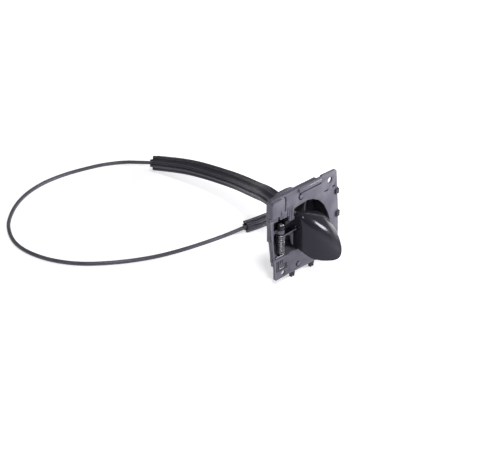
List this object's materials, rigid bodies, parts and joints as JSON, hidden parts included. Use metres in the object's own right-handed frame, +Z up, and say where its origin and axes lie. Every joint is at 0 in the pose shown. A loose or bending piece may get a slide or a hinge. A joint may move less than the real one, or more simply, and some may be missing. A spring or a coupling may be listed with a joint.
{
  "type": "vehicle door release handle with cable",
  "caption": "Inside door release handle: sprung scoop lever hinged on a flat moulded plate with finger bowl, and a sheathed release cable in one loop.",
  "frame": {"origin": "Middle of the handle's own box (cable left out), at the level of the surface it stands on.", "axes": "+Z is up, along the hinge pin. The handle's front faces -Y. +X runs from the hinge side to the lever's free edge. The cable leaves the back towards +Y."},
  "size_m": [0.3438, 0.4194, 0.1116],
  "materials": {
    "plate": "satin",
    "lever": "gloss",
    "bowl": "grained",
    "clips": "matt",
    "conduit": "satin",
    "rubber": "matt",
    "steel": "bright",
    "zinc": "cast"
  },
  "bodies": {
    "base": {"base_plate": "plate", "hinge_pin": "steel", "return_spring": "steel", "pin_lock_ring": "zinc", "edge_clip_bottom_left": "clips", "edge_clip_bottom_right": "clips", "edge_clip_right_lower": "clips", "edge_clip_right_upper": "clips", "finger_bowl": "bowl", "rest_buffer": "rubber", "cable_conduit": "conduit", "long_sleeve": "rubber", "short_sleeve": "rubber", "handle_end_fitting": "clips", "latch_end_fitting": "clips"},
    "lever": {"lever": "lever", "handle_nipple": "zinc"},
    "handle_wire": {"handle_inner_wire": "steel"},
    "latch_wire": {"latch_inner_wire": "steel", "latch_nipple": "zinc"}
  },
  "joints": [
    {"name": "lever_hinge", "type": "hinge", "parent": "base", "child": "lever", "pos_m": [-0.0335, 0.0065, 0.045], "axis": [0, 0, -1], "range_deg": [0, 30], "stiffness_Nm_per_rad": 0.35, "springref_deg": -20.05, "deforming": ["return_spring"]},
    {"name": "handle_wire_slide", "type": "slide", "parent": "base", "child": "handle_wire", "axis": [-0.3007, -0.9537, 0], "range_m": [0, 0.0105]},
    {"name": "latch_wire_slide", "type": "slide", "parent": "base", "child": "latch_wire", "axis": [-0.996, 0.0896, 0], "range_m": [0, 0.0105]}
  ],
  "couplings": [
    {"joint": "handle_wire_slide", "follows": "lever_hinge", "m_per_rad": 0.01969},
    {"joint": "latch_wire_slide", "follows": "lever_hinge", "m_per_rad": 0.01969}
  ]
}
